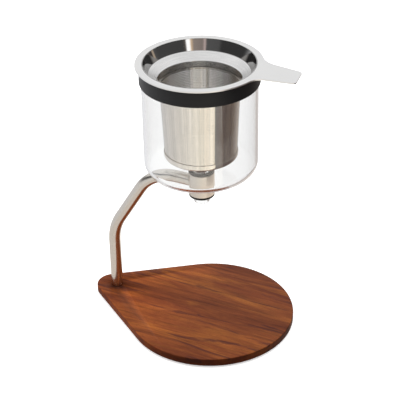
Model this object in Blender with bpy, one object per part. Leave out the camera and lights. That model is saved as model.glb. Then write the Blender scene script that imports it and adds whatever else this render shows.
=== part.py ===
"""Pour-over coffee dripper: a glass vessel and a steel basket filter, held over a cup by a bent
tube on a teardrop board.

Units are metres and +Z is up. The origin is on the resting plane, below the middle of the whole
object. The vessel, its collar and the filter share one upright axis, at x = AXIS_X and y = 0.
Each named object is one separate solid, and neighbours that touch keep a small gap.
"""

import math

import bmesh
import bpy
from mathutils import Matrix, Vector

# Driving dimensions. Positions along X and radii are measured from the vessel's axis.

AXIS_X = 0.0116
GAP = 0.0003

PAD_THICKNESS = 0.0015
PAD_RADIUS = 0.006
PAD_PLACES = ((0.056, 0.044), (0.056, -0.044), (-0.066, 0.022), (-0.066, -0.022))

BOARD_BOTTOM = PAD_THICKNESS + GAP
BOARD_THICKNESS = 0.0074
BOARD_TOP = BOARD_BOTTOM + BOARD_THICKNESS
BOARD_WIDE_X = 0.0073
BOARD_WIDE_RADIUS = 0.0766
BOARD_TAIL_X = -0.0964
BOARD_TAIL_RADIUS = 0.0155
BOARD_EDGE_ROUND = 0.0008
BOARD_EDGE_STEPS = 2
SOCKET_DEPTH = 0.001
COUNTERBORE_RADIUS = 0.0052
COUNTERBORE_DEPTH = 0.0042

TUBE_X = -0.0922
TUBE_RADIUS = 0.0055
TUBE_WALL = 0.0012
TUBE_BOTTOM = BOARD_TOP - SOCKET_DEPTH + GAP
TUBE_SLANT = math.radians(58.5)
LOWER_CORNER_Z = 0.0745
LOWER_BEND_RADIUS = 0.052
ARM_Z = 0.1438
UPPER_BEND_RADIUS = 0.042

INSERT_LENGTH = 0.014
SCREW_RADIUS = 0.002
SCREW_HOLE_RADIUS = SCREW_RADIUS + GAP
SCREW_LENGTH = 0.0165
SCREW_HEAD_RADIUS = 0.004
SCREW_HEAD_HEIGHT = 0.0015
HEX_KEY_RADIUS = 0.00145
HEX_KEY_DEPTH = 0.0009
WASHER_THICKNESS = 0.0008
WASHER_RADIUS = 0.0046
LOCK_WASHER_RADIUS = 0.0038
SPLIT_WIDTH = 0.0006
SPLIT_SLANT = 0.0008

COLLAR_RADIUS = 0.0116
COLLAR_WALL = 0.0015
COLLAR_BOTTOM = 0.1345
COLLAR_TOP = 0.1553
BUSH_FLANGE_RADIUS = 0.0115
UPPER_FLANGE_THICKNESS = 0.0014
LOWER_FLANGE_THICKNESS = 0.0019
BUSH_SLEEVE_LENGTH = 0.0085
BUSH_CHAMFER = 0.0016

GLASS_RADIUS = 0.050
GLASS_WALL = 0.0022
GLASS_CORNER_RADIUS = 0.012
GLASS_FLOOR_RISE = 0.0008
NECK_RADIUS = 0.0072
NECK_BOTTOM = 0.1258
NECK_FILLET = 0.0012
GLASS_FLOOR = COLLAR_TOP + UPPER_FLANGE_THICKNESS + 2 * GAP
GLASS_TOP = 0.2577

GASKET_RADIUS = 0.0518
GASKET_BOTTOM = 0.2451
GASKET_WEB = 0.0020
GASKET_MOUTH_RADIUS = 0.0487
GASKET_EDGE_ROUND = 0.0006

FLANGE_TOP = 0.2615
FLANGE_THICKNESS = 0.0012
FLANGE_RADIUS = 0.0550
FLANGE_HOLE_RADIUS = 0.0490
HANDLE_ANGLE = math.radians(8)
HANDLE_SLOPE = math.radians(4.4)
HANDLE_BEND = 0.0545
HANDLE_REACH = 0.0865
HANDLE_ROOT_HALF_WIDTH = 0.0157
HANDLE_TIP_HALF_WIDTH = 0.0113
HANDLE_ROOT_FILLET = 0.016
HANDLE_TIP_ROUND = 0.0036

SHEET = 0.0006
FUNNEL_TOP_RADIUS = FLANGE_HOLE_RADIUS - GAP - SHEET
FUNNEL_TOP = FLANGE_TOP - GAP
LEDGE_OUTER_RADIUS = 0.0438
LEDGE_OUTER_Z = 0.2520
LEDGE_INNER_RADIUS = 0.0365
LEDGE_INNER_Z = 0.2455
SKIRT_BOTTOM_RADIUS = 0.0354
SKIRT_BOTTOM = 0.2390
FUNNEL_BEND_RADIUS = 0.001

MESH_THICKNESS = 0.0004
SLEEVE_TOP = 0.2405
SLEEVE_TOP_RADIUS = 0.0347
SLEEVE_BOTTOM = 0.1770
SLEEVE_BOTTOM_RADIUS = 0.0317
CUP_RING_TOP = 0.1795
CUP_RING_BOTTOM = 0.1738
CUP_RING_RADIUS = 0.0325
CUP_RING_SHEET = 0.0005
CUP_RING_LIP_RADIUS = 0.0275
CUP_RING_CORNER = 0.003
BOTTOM_MESH_RADIUS = 0.0299

# How finely curves are divided: turns by their size, and rounded corners by how much they show.

LARGE_STEPS = 60
MEDIUM_STEPS = 40
SMALL_STEPS = 28
TUBE_SIDES = 24
HEX_SIDES = 6
BEND_STEPS = 8
GLASS_CORNER_STEPS = 5
CORNER_STEPS = 4
SMALL_CORNER_STEPS = 2
SMOOTH_BELOW = math.radians(35)
BEVEL_ABOVE = math.radians(45)


def arc(centre, radius, start, stop, steps):
    """Points on an arc in a plane, from the angle start to the angle stop, in radians."""
    turn = (stop - start) / steps
    return [
        (
            centre[0] + radius * math.cos(start + turn * i),
            centre[1] + radius * math.sin(start + turn * i),
        )
        for i in range(steps + 1)
    ]


def rounded_corner(before, corner, after, radius, steps):
    """Points that replace a corner with an arc that is tangent to both of its sides."""
    corner = Vector(corner)
    to_before = (Vector(before) - corner).normalized()
    to_after = (Vector(after) - corner).normalized()
    half = to_before.angle(to_after) / 2
    middle = (to_before + to_after).normalized()
    centre = corner + middle * (radius / math.sin(half))
    first = corner + to_before * (radius / math.tan(half)) - centre
    last = corner + to_after * (radius / math.tan(half)) - centre
    start = math.atan2(first.y, first.x)
    sweep = math.remainder(math.atan2(last.y, last.x) - start, 2 * math.pi)
    return arc(centre, radius, start, start + sweep, steps)


def rounded_path(points, radii, steps):
    """An open path whose inner corners are rounded, each with its own radius."""
    path = [points[0]]
    for i, radius in enumerate(radii, start=1):
        path += rounded_corner(points[i - 1], points[i], points[i + 1], radius, steps)
    return path + [points[-1]]


def shell_outline(path, thickness):
    """Closed outline of a sheet whose one face is the path, with its thickness on the left."""
    points = [Vector(p) for p in path]
    sides = [(b - a).normalized() for a, b in zip(points, points[1:])]
    befores = [sides[0]] + sides
    afters = sides + [sides[-1]]
    offset = []
    for point, before, after in zip(points, befores, afters):
        normal = Vector((-before.y - after.y, before.x + after.x)).normalized()
        left = Vector((-before.y, before.x))
        offset.append(point + normal * (thickness / normal.dot(left)))
    return [tuple(p) for p in points] + [tuple(p) for p in reversed(offset)]


def material(name, colour, roughness, metallic=0.0, transmission=0.0):
    """A Principled BSDF material, made once for each name."""
    found = bpy.data.materials.get(name)
    if found:
        return found
    made = bpy.data.materials.new(name)
    made.use_nodes = True
    shader = made.node_tree.nodes["Principled BSDF"]
    shader.inputs["Base Color"].default_value = (*colour, 1.0)
    shader.inputs["Roughness"].default_value = roughness
    shader.inputs["Metallic"].default_value = metallic
    shader.inputs["Transmission Weight"].default_value = transmission
    made.diffuse_color = (*colour, 1.0)
    return made


def wood():
    return material("reddish_hardwood", (0.29, 0.11, 0.045), 0.45)


def silicone():
    return material("black_silicone", (0.018, 0.018, 0.020), 0.55)


def satin_steel():
    return material("satin_steel", (0.62, 0.58, 0.52), 0.32, metallic=1.0)


def brushed_steel():
    return material("brushed_steel", (0.78, 0.77, 0.75), 0.35, metallic=1.0)


def polished_steel():
    return material("polished_steel", (0.60, 0.60, 0.60), 0.08, metallic=1.0)


def mesh_steel():
    return material("mesh_steel", (0.50, 0.46, 0.41), 0.30, metallic=1.0)


def zinc_steel():
    return material("zinc_plated_steel", (0.55, 0.55, 0.53), 0.35, metallic=1.0)


def brass():
    return material("brass", (0.70, 0.52, 0.25), 0.30, metallic=1.0)


def clear_glass():
    return material("clear_glass", (0.95, 0.97, 0.97), 0.02, transmission=1.0)


def add_object(name, mesh, finish, place=(0.0, 0.0, 0.0)):
    """Put a mesh in the scene under a name, with its material, standing at a place."""
    made = bpy.data.objects.new(name, mesh)
    bpy.context.scene.collection.objects.link(made)
    made.location = place
    if finish:
        mesh.materials.append(finish)
    return made


def mesh_from(name, shape):
    """Turn a finished bmesh into a mesh with outward faces and smooth round sides."""
    bmesh.ops.recalc_face_normals(shape, faces=shape.faces)
    mesh = bpy.data.meshes.new(name)
    shape.to_mesh(mesh)
    shape.free()
    mesh.shade_smooth()
    mesh.set_sharp_from_angle(angle=SMOOTH_BELOW)
    return mesh


def turned_mesh(name, outline, steps):
    """Solid of revolution about Z from a closed outline of (radius, height) points."""
    shape = bmesh.new()
    corners = [shape.verts.new((radius, 0.0, height)) for radius, height in outline]
    for first, second in zip(corners, corners[1:] + corners[:1]):
        is_off_axis = first.co.x > 0 or second.co.x > 0
        if is_off_axis:
            shape.edges.new((first, second))
    bmesh.ops.spin(
        shape,
        geom=shape.verts[:] + shape.edges[:],
        cent=(0.0, 0.0, 0.0),
        axis=(0.0, 0.0, 1.0),
        angle=2 * math.pi,
        steps=steps,
        use_merge=True,
    )
    bmesh.ops.remove_doubles(shape, verts=shape.verts, dist=0.000001)
    return mesh_from(name, shape)


def turned(name, outline, steps, finish):
    """A turned piece on the vessel's axis."""
    return add_object(name, turned_mesh(name, outline, steps), finish, (AXIS_X, 0.0, 0.0))


def ring_outline(inner, outer, bottom, top):
    """Rectangular section of a plain ring."""
    return [(inner, bottom), (outer, bottom), (outer, top), (inner, top)]


def disc_mesh(name, radius, bottom, top, steps):
    """A plain cylinder on Z."""
    shape = bmesh.new()
    bmesh.ops.create_cone(
        shape,
        cap_ends=True,
        segments=steps,
        radius1=radius,
        radius2=radius,
        depth=top - bottom,
        matrix=Matrix.Translation((0.0, 0.0, (top + bottom) / 2)),
    )
    return mesh_from(name, shape)


def plate_mesh(name, outline, bottom, top):
    """A flat plate from a plan outline."""
    shape = bmesh.new()
    face = shape.faces.new([shape.verts.new((x, y, bottom)) for x, y in outline])
    raised = bmesh.ops.extrude_face_region(shape, geom=[face])["geom"]
    corners = [item for item in raised if isinstance(item, bmesh.types.BMVert)]
    bmesh.ops.translate(shape, verts=corners, vec=(0.0, 0.0, top - bottom))
    return mesh_from(name, shape)


def cut(target, cutter_mesh, place):
    """Cut a hidden shape out of a piece."""
    cutter = add_object(cutter_mesh.name, cutter_mesh, None, place)
    cutter.hide_render = True
    cutter.display_type = "WIRE"
    boolean = target.modifiers.new(cutter_mesh.name, "BOOLEAN")
    boolean.operation = "DIFFERENCE"
    boolean.object = cutter


def foot_pads():
    """Four thin pads under the board."""
    mesh = disc_mesh("foot_pad", PAD_RADIUS, 0.0, PAD_THICKNESS, SMALL_STEPS)
    mesh.materials.append(silicone())
    for number, (x, y) in enumerate(PAD_PLACES, start=1):
        add_object(f"foot_pad_{number}", mesh, None, (AXIS_X + x, y, 0.0))


def board_outline():
    """Two circles and the straight lines that are tangent to both."""
    spacing = BOARD_WIDE_X - BOARD_TAIL_X
    lean = math.acos((BOARD_WIDE_RADIUS - BOARD_TAIL_RADIUS) / spacing)
    wide_end = math.pi - lean
    wide = arc((BOARD_WIDE_X, 0.0), BOARD_WIDE_RADIUS, -wide_end, wide_end, LARGE_STEPS)
    tail = arc((BOARD_TAIL_X, 0.0), BOARD_TAIL_RADIUS, wide_end, 2 * math.pi - wide_end, SMALL_STEPS)
    return wide + tail


def base_board():
    """Teardrop board with a shallow socket for the tube and a counterbored hole for its screw."""
    mesh = plate_mesh("base_board", board_outline(), BOARD_BOTTOM, BOARD_TOP)
    board = add_object("base_board", mesh, wood(), (AXIS_X, 0.0, 0.0))
    edges = board.modifiers.new("edges", "BEVEL")
    edges.width = BOARD_EDGE_ROUND
    edges.segments = BOARD_EDGE_STEPS
    edges.limit_method = "ANGLE"
    edges.angle_limit = BEVEL_ABOVE
    below = BOARD_BOTTOM - GAP
    above = BOARD_TOP + GAP
    ledge = BOARD_BOTTOM + COUNTERBORE_DEPTH
    socket = BOARD_TOP - SOCKET_DEPTH
    outline = [
        (0.0, below),
        (COUNTERBORE_RADIUS, below),
        (COUNTERBORE_RADIUS, ledge),
        (SCREW_HOLE_RADIUS, ledge),
        (SCREW_HOLE_RADIUS, socket),
        (TUBE_RADIUS + GAP, socket),
        (TUBE_RADIUS + GAP, above),
        (0.0, above),
    ]
    cut(board, turned_mesh("board_hole_cutter", outline, SMALL_STEPS), (AXIS_X + TUBE_X, 0.0, 0.0))


def base_fixings():
    """Screw, two washers and the threaded insert that hold the tube to the board."""
    place = (AXIS_X + TUBE_X, 0.0, 0.0)
    washer_top = BOARD_BOTTOM + COUNTERBORE_DEPTH - GAP
    washer_bottom = washer_top - WASHER_THICKNESS
    outline = ring_outline(SCREW_HOLE_RADIUS, WASHER_RADIUS, washer_bottom, washer_top)
    add_object("flat_washer", turned_mesh("flat_washer", outline, SMALL_STEPS), zinc_steel(), place)

    lock_top = washer_bottom - GAP
    lock_bottom = lock_top - WASHER_THICKNESS
    outline = ring_outline(SCREW_HOLE_RADIUS, LOCK_WASHER_RADIUS, lock_bottom, lock_top)
    mesh = turned_mesh("lock_washer", outline, SMALL_STEPS)
    lock_washer = add_object("lock_washer", mesh, zinc_steel(), place)
    half = SPLIT_WIDTH / 2
    reach = LOCK_WASHER_RADIUS + GAP
    split = [(0.0, -half), (reach, SPLIT_SLANT - half), (reach, SPLIT_SLANT + half), (0.0, half)]
    cut(lock_washer, plate_mesh("washer_split_cutter", split, lock_bottom - GAP, lock_top + GAP), place)

    head_top = lock_bottom - GAP
    head_bottom = head_top - SCREW_HEAD_HEIGHT
    outline = [
        (0.0, head_bottom),
        (SCREW_HEAD_RADIUS, head_bottom),
        (SCREW_HEAD_RADIUS, head_top),
        (SCREW_RADIUS, head_top),
        (SCREW_RADIUS, head_top + SCREW_LENGTH),
        (0.0, head_top + SCREW_LENGTH),
    ]
    screw = add_object("base_screw", turned_mesh("base_screw", outline, SMALL_STEPS), zinc_steel(), place)
    key_top = head_bottom + HEX_KEY_DEPTH
    cut(screw, disc_mesh("hex_key_cutter", HEX_KEY_RADIUS, head_bottom - GAP, key_top, HEX_SIDES), place)

    radius = TUBE_RADIUS - TUBE_WALL - GAP
    top = TUBE_BOTTOM + INSERT_LENGTH
    outline = ring_outline(SCREW_HOLE_RADIUS, radius, TUBE_BOTTOM, top)
    add_object("tube_insert", turned_mesh("tube_insert", outline, SMALL_STEPS), brass(), place)


def tube_path():
    """The tube's centre line in the XZ plane: upright, slanted, then level towards the collar."""
    upper_corner_x = TUBE_X + (ARM_Z - LOWER_CORNER_Z) / math.tan(TUBE_SLANT)
    corners = [
        (TUBE_X, TUBE_BOTTOM),
        (TUBE_X, LOWER_CORNER_Z),
        (upper_corner_x, ARM_Z),
        (-COLLAR_RADIUS + COLLAR_WALL, ARM_Z),
    ]
    return rounded_path(corners, (LOWER_BEND_RADIUS, UPPER_BEND_RADIUS), BEND_STEPS)


def tube_rings(shape, path, radius, sides):
    """Rings of points around a path in the XZ plane, one for each of its points."""
    rings = []
    for i, (x, z) in enumerate(path):
        before = Vector(path[max(i - 1, 0)])
        after = Vector(path[min(i + 1, len(path) - 1)])
        along = (after - before).normalized()
        ring = []
        for side in range(sides):
            angle = 2 * math.pi * side / sides
            across = radius * math.cos(angle)
            place = (x - along.y * across, radius * math.sin(angle), z + along.x * across)
            ring.append(shape.verts.new(place))
        rings.append(ring)
    return rings


def bridge(shape, first, second):
    """Faces between two rings with the same number of points."""
    for i in range(len(first)):
        j = (i + 1) % len(first)
        shape.faces.new((first[i], first[j], second[j], second[i]))


def stand_tube():
    """Bent tube whose upper end is cut to fit against the collar."""
    shape = bmesh.new()
    path = tube_path()
    outer = tube_rings(shape, path, TUBE_RADIUS, TUBE_SIDES)
    inner = tube_rings(shape, path, TUBE_RADIUS - TUBE_WALL, TUBE_SIDES)
    for rings in (outer, inner):
        for first, second in zip(rings, rings[1:]):
            bridge(shape, first, second)
    bridge(shape, outer[0], inner[0])
    bridge(shape, outer[-1], inner[-1])
    tube = add_object("stand_tube", mesh_from("stand_tube", shape), satin_steel(), (AXIS_X, 0.0, 0.0))
    cutter = disc_mesh("collar_space_cutter", COLLAR_RADIUS + GAP, COLLAR_BOTTOM, COLLAR_TOP, MEDIUM_STEPS)
    cut(tube, cutter, (AXIS_X, 0.0, 0.0))


def collar():
    """Short upright sleeve that the vessel's neck passes through."""
    outline = ring_outline(COLLAR_RADIUS - COLLAR_WALL, COLLAR_RADIUS, COLLAR_BOTTOM, COLLAR_TOP)
    turned("collar", outline, MEDIUM_STEPS, satin_steel())


def bushes():
    """Two flanged silicone bushes, one in each end of the collar."""
    bore = NECK_RADIUS + GAP
    sleeve = COLLAR_RADIUS - COLLAR_WALL - GAP
    seat = COLLAR_TOP + GAP
    top = seat + UPPER_FLANGE_THICKNESS
    upper = [
        (bore, seat - BUSH_SLEEVE_LENGTH),
        (sleeve, seat - BUSH_SLEEVE_LENGTH),
        (sleeve, seat),
        (BUSH_FLANGE_RADIUS, seat),
        (BUSH_FLANGE_RADIUS, top),
        (bore + BUSH_CHAMFER, top),
        (bore, top - BUSH_CHAMFER),
    ]
    turned("upper_bush", upper, MEDIUM_STEPS, silicone())

    seat = COLLAR_BOTTOM - GAP
    bottom = seat - LOWER_FLANGE_THICKNESS
    lower = [
        (bore, bottom),
        (BUSH_FLANGE_RADIUS, bottom),
        (BUSH_FLANGE_RADIUS, seat),
        (sleeve, seat),
        (sleeve, seat + BUSH_SLEEVE_LENGTH),
        (bore, seat + BUSH_SLEEVE_LENGTH),
    ]
    turned("lower_bush", lower, MEDIUM_STEPS, silicone())


def glass_vessel():
    """Round glass jug with a drain neck in its floor, all of one wall thickness."""
    corners = [
        (NECK_RADIUS, NECK_BOTTOM),
        (NECK_RADIUS, GLASS_FLOOR),
        (GLASS_RADIUS, GLASS_FLOOR + GLASS_FLOOR_RISE),
        (GLASS_RADIUS, GLASS_TOP),
    ]
    outside = rounded_path(corners, (NECK_FILLET, GLASS_CORNER_RADIUS), GLASS_CORNER_STEPS)
    turned("glass_vessel", shell_outline(outside, GLASS_WALL), LARGE_STEPS, clear_glass())


def rim_gasket():
    """Silicone ring over the vessel's rim, with a web on top that the filter's flange rests on."""
    top = FLANGE_TOP - FLANGE_THICKNESS - GAP
    inner = GLASS_RADIUS + GAP
    outline = [
        (inner, GASKET_BOTTOM),
        *rounded_corner(
            (inner, GASKET_BOTTOM),
            (GASKET_RADIUS, GASKET_BOTTOM),
            (GASKET_RADIUS, top),
            GASKET_EDGE_ROUND,
            SMALL_CORNER_STEPS,
        ),
        (GASKET_RADIUS, top),
        (GASKET_MOUTH_RADIUS, top),
        (GASKET_MOUTH_RADIUS, top - GASKET_WEB),
        (inner, top - GASKET_WEB),
    ]
    turned("rim_gasket", outline, LARGE_STEPS, silicone())


def handle_side():
    """Upper half of the flange's handle, from the ring to the middle of the tip."""
    root = Vector((FLANGE_RADIUS, HANDLE_ROOT_HALF_WIDTH))
    tip = Vector((HANDLE_REACH, HANDLE_TIP_HALF_WIDTH))
    along = (tip - root).normalized()
    outward = Vector((-along.y, along.x))
    start = root + outward * HANDLE_ROOT_FILLET
    reach = FLANGE_RADIUS + HANDLE_ROOT_FILLET
    half = start.dot(along)
    centre = start + along * (-half + math.sqrt(half**2 - start.length_squared + reach**2))
    ring_touch = centre * (FLANGE_RADIUS / reach)
    side_touch = centre - outward * HANDLE_ROOT_FILLET
    first = ring_touch - centre
    last = side_touch - centre
    start_angle = math.atan2(first.y, first.x) % (2 * math.pi)
    last_angle = math.atan2(last.y, last.x) % (2 * math.pi)
    root_arc = arc(centre, HANDLE_ROOT_FILLET, start_angle, last_angle, BEND_STEPS)
    tip_arc = rounded_corner(side_touch, tip, (HANDLE_REACH, 0.0), HANDLE_TIP_ROUND, CORNER_STEPS)
    return root_arc + tip_arc


def flange_outline():
    """Ring outline that runs out into the handle, symmetric about the handle's middle line."""
    side = handle_side()
    open_angle = math.atan2(side[0][1], side[0][0])
    ring = arc((0.0, 0.0), FLANGE_RADIUS, open_angle, 2 * math.pi - open_angle, LARGE_STEPS)
    mirrored = [(x, -y) for x, y in side]
    return list(reversed(side)) + ring[1:-1] + mirrored


def bend_handle(mesh):
    """Bend the handle down a little along a line across its root, then turn it to its place."""
    shape = bmesh.new()
    shape.from_mesh(mesh)
    everything = shape.verts[:] + shape.edges[:] + shape.faces[:]
    bmesh.ops.bisect_plane(
        shape, geom=everything, plane_co=(HANDLE_BEND, 0.0, 0.0), plane_no=(1.0, 0.0, 0.0)
    )
    for vertex in shape.verts:
        vertex.co.z -= math.tan(HANDLE_SLOPE) * max(vertex.co.x - HANDLE_BEND, 0.0)
    shape.transform(Matrix.Rotation(HANDLE_ANGLE, 4, "Z"))
    shape.to_mesh(mesh)
    shape.free()


def filter_flange():
    """Plate of the filter: a flat ring that rests on the gasket, with a handle."""
    bottom = FLANGE_TOP - FLANGE_THICKNESS
    mesh = plate_mesh("filter_flange", flange_outline(), bottom, FLANGE_TOP)
    bend_handle(mesh)
    flange = add_object("filter_flange", mesh, brushed_steel(), (AXIS_X, 0.0, 0.0))
    hole = disc_mesh("flange_hole_cutter", FLANGE_HOLE_RADIUS, bottom - GAP, FLANGE_TOP + GAP, LARGE_STEPS)
    cut(flange, hole, (AXIS_X, 0.0, 0.0))


def filter_funnel():
    """Pressed ring: a steep wall, a sloping ledge and a short skirt around the mesh sleeve."""
    corners = [
        (FUNNEL_TOP_RADIUS, FUNNEL_TOP),
        (LEDGE_OUTER_RADIUS, LEDGE_OUTER_Z),
        (LEDGE_INNER_RADIUS, LEDGE_INNER_Z),
        (SKIRT_BOTTOM_RADIUS, SKIRT_BOTTOM),
    ]
    inside = rounded_path(corners, (FUNNEL_BEND_RADIUS, FUNNEL_BEND_RADIUS), SMALL_CORNER_STEPS)
    turned("filter_funnel", shell_outline(inside, SHEET), LARGE_STEPS, polished_steel())


def mesh_cup():
    """The strainer: a tapered sleeve, a ring around its lower end and a flat bottom. The sleeve
    and the bottom are plain sheet here; their holes are too fine to model as solids."""
    sleeve = [(SLEEVE_BOTTOM_RADIUS, SLEEVE_BOTTOM), (SLEEVE_TOP_RADIUS, SLEEVE_TOP)]
    outline = shell_outline(sleeve, MESH_THICKNESS)
    turned("mesh_sleeve", outline, LARGE_STEPS, mesh_steel())

    corners = [
        (CUP_RING_LIP_RADIUS, CUP_RING_BOTTOM),
        (CUP_RING_RADIUS, CUP_RING_BOTTOM),
        (CUP_RING_RADIUS, CUP_RING_TOP),
    ]
    outside = rounded_path(corners, (CUP_RING_CORNER,), CORNER_STEPS)
    turned("cup_ring", shell_outline(outside, CUP_RING_SHEET), LARGE_STEPS, brushed_steel())

    bottom = CUP_RING_BOTTOM + CUP_RING_SHEET + GAP
    top = bottom + MESH_THICKNESS
    disc = disc_mesh("bottom_mesh", BOTTOM_MESH_RADIUS, bottom, top, LARGE_STEPS)
    add_object("bottom_mesh", disc, mesh_steel(), (AXIS_X, 0.0, 0.0))


def main():
    for old in list(bpy.data.objects):
        bpy.data.objects.remove(old, do_unlink=True)
    foot_pads()
    base_board()
    base_fixings()
    stand_tube()
    collar()
    bushes()
    glass_vessel()
    rim_gasket()
    filter_flange()
    filter_funnel()
    mesh_cup()


main()
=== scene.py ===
import math

import bmesh
import bpy
import numpy as np
from mathutils import Matrix, Vector


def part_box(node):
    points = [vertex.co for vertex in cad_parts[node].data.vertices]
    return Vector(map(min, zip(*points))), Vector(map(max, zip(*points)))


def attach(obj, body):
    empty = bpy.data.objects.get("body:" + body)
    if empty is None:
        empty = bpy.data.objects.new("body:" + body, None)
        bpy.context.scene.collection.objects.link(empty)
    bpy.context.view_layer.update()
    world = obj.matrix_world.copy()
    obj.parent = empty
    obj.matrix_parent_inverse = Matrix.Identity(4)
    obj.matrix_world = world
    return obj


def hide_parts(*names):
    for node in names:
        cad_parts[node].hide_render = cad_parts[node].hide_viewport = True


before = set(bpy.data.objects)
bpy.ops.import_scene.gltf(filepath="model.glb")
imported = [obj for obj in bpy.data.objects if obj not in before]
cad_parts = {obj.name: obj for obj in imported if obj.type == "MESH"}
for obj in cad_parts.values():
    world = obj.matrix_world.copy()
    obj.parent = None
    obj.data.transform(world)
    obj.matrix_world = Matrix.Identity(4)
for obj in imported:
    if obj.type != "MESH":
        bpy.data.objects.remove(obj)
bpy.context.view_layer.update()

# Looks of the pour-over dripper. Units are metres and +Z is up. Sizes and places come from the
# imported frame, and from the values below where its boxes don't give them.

# The upright axis that the vessel, its collar and the filter share

glass_low, glass_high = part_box("glass_vessel")
AXIS = Vector(((glass_low.x + glass_high.x) / 2, (glass_low.y + glass_high.y) / 2))

# Sizes that the frame's boxes don't give. A drop is measured down from the node's top.

GAP = 0.0003

BOARD_EDGE_ROUND = 0.0008
TAIL_TO_WIDE_RADIUS = 0.2024
SCREW_HOLE_RADIUS = 0.0023
COUNTERBORE_RADIUS = 0.0052
SOCKET_ROOM = 0.0001
PAD_EDGE_ROUND = 0.0005

TUBE_WALL = 0.0012
TUBE_SLANT = math.radians(58.5)
LOWER_CORNER_Z = 0.0745
TUBE_BEND_RADII = (0.052, 0.042)
ARM_END_TO_AXIS = 0.0102
WELD_RADIUS = 0.0008
WELD_RIPPLE = 0.00006
WELD_RIPPLES = 30

COLLAR_WALL = 0.0015
COLLAR_EDGE_ROUND = 0.00035
BUSH_BORE_RADIUS = 0.0075
BUSH_CHAMFER = 0.0016
BUSH_EDGE_ROUND = 0.0005
BUSH_LOWER_EDGE_ROUND = 0.0007

GLASS_WALL = 0.0022
GLASS_CORNER_RADIUS = 0.012
GLASS_FLOOR_RISE = 0.0008
NECK_RADIUS = 0.0072
NECK_FILLET = 0.0012

GASKET_WEB = 0.0020
GASKET_MOUTH_RADIUS = 0.0487
GASKET_EDGE_ROUNDS = (0.0006, 0.0005, 0.0003)

FLANGE_THICKNESS = 0.0012
FLANGE_HOLE_RADIUS = 0.0488
FLANGE_EDGE_ROUND = 0.0002
HANDLE_ANGLE = math.radians(8)
HANDLE_SLOPE = math.radians(4.4)
HANDLE_BEND = 0.0525
HANDLE_BEND_LENGTH = 0.0040
HANDLE_REACH = 0.08646
HANDLE_ROOT_HALF_WIDTH = 0.0157
HANDLE_TIP_HALF_WIDTH = 0.0113
HANDLE_ROOT_FILLET = 0.016
HANDLE_TIP_ROUND = 0.0036

FUNNEL_SHEET = 0.0006
FUNNEL_TOP_RADIUS = 0.0481
FUNNEL_TOP_DROP = 0.00005
FUNNEL_BEND_RADII = (0.0012, 0.001)
LEDGE_OUTER_RADIUS = 0.0438
LEDGE_OUTER_DROP = 0.0092
LEDGE_INNER_RADIUS = 0.0365
LEDGE_INNER_DROP = 0.0157
LEDGE_OUTER_BEND, LEDGE_INNER_BEND = 0.0004, 0.0003
LEDGE_FLAT_ROOM = 0.0001
SKIRT_BOTTOM_RADIUS = 0.0354

SLEEVE_BOTTOM_RADIUS = 0.0317
SLEEVE_SHEET = 0.0002
SLEEVE_HEM = 0.0022
SLEEVE_COLUMNS, SLEEVE_ROWS = 220, 38
SLEEVE_BAR, SLEEVE_BRIDGE = 0.70, 0.40
SEAM_HEADING = math.radians(103)
SEAM_CELLS = 5

CUP_RING_SHEET = 0.0005
CUP_RING_LIP_RADIUS = 0.0275
CUP_RING_CORNER = 0.003
DISC_RIM_WIDTH = 0.0018
DISC_RIM_ROUND = 0.0001
DISC_TUCK = 0.0008
DISC_LOWER_SIDE, DISC_UPPER_SIDE = 0.0001, 0.0003
DISC_PITCH, DISC_BAR = 0.0009, 0.55

# How finely curves are divided

GLASS_STEPS = 192
ROUND_STEPS = 144
COLLAR_STEPS = 96
SMALL_STEPS = 64
PAD_STEPS = 48
BOARD_STEPS, TAIL_STEPS = 160, 48
TUBE_SIDES, TUBE_BEND_STEPS = 56, 28
WELD_STEPS, WELD_SIDES = 120, 12
FILLET_STEPS = 20
GLASS_CORNER_STEPS = 16
BEND_STEPS = 8
CORNER_STEPS = 4

# Camera and studio

CAMERA_PLACE = Vector((AXIS.x + 0.4692, -0.9451, 0.7686))
CAMERA_LOOK = Vector((-0.3811, 0.7645, -0.5200))
CAMERA_ROLL = math.radians(-1.0874)
CAMERA_LENS, FILM_WIDTH = 124.8, 36.0
FAR_HEADING = math.radians(116.4)
FAR_SIDE = Vector((math.cos(FAR_HEADING), math.sin(FAR_HEADING), 0.0))
TOP_CENTRE = FAR_SIDE * 0.33 + Vector((0, 0, 0.944))

FLOOR_REACH = 12.0
FLOOR_DROP = 0.0001
PAPER_RADIUS = 0.27
PAPER_DROP = 0.0002
LAMP_PLACE = (-1.6, -0.25, 0.0046)
LAMP_WIDTH, LAMP_HEIGHT = 0.7, 0.008
LAMP_WATTS = 34.0

# What shiny pieces see around them: (heading in degrees, brightness or colour)

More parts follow.
